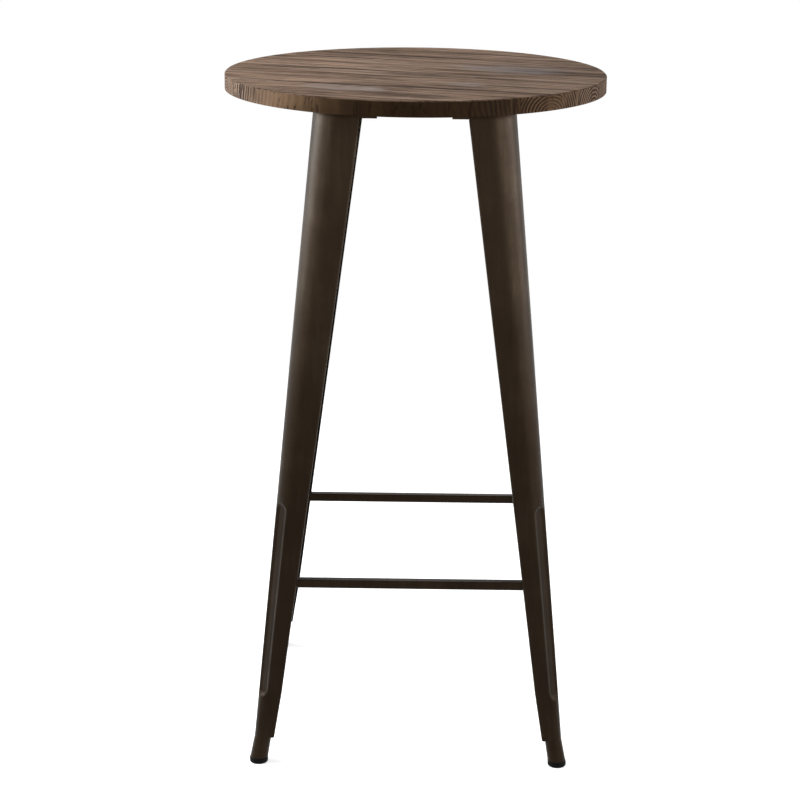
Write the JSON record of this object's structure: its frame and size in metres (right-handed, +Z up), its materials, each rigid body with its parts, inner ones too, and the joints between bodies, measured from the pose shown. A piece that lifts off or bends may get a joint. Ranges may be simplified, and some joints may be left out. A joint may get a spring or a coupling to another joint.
{
  "type": "bar table",
  "caption": "Round plank-topped bar table on splayed, fluted sheet-steel legs with a square footrest ring and foot caps.",
  "frame": {"origin": "on the floor, below the middle of the round top", "axes": "+Z up from the floor to the top; front towards -Y, right towards +X; footrest sides along X and Y"},
  "size_m": [0.595, 0.595, 1.067],
  "materials": {
    "top_wood": "waxed, weathered",
    "frame_metal": "aged bronze lacquer, satin",
    "fastener_steel": "zinc plated",
    "cap_rubber": "matt"
  },
  "bodies": {
    "root": {"foot_caps": "cap_rubber", "footrest_back": "frame_metal", "footrest_bolts": "fastener_steel", "footrest_front": "frame_metal", "footrest_gusset_back_left": "frame_metal", "footrest_gusset_back_right": "frame_metal", "footrest_gusset_front_left": "frame_metal", "footrest_gusset_front_right": "frame_metal", "footrest_ledge_back_left": "frame_metal", "footrest_ledge_back_right": "frame_metal", "footrest_ledge_front_left": "frame_metal", "footrest_ledge_front_right": "frame_metal", "footrest_left": "frame_metal", "footrest_right": "frame_metal", "leg_back_left": "frame_metal", "leg_back_right": "frame_metal", "leg_bracket_back_left": "frame_metal", "leg_bracket_back_right": "frame_metal", "leg_bracket_front_left": "frame_metal", "leg_bracket_front_right": "frame_metal", "leg_front_left": "frame_metal", "leg_front_right": "frame_metal", "top_board_1": "top_wood", "top_board_2": "top_wood", "top_board_3": "top_wood", "top_board_4": "top_wood", "top_board_5": "top_wood", "top_board_6": "top_wood", "top_screws": "fastener_steel"}
  },
  "joints": []
}
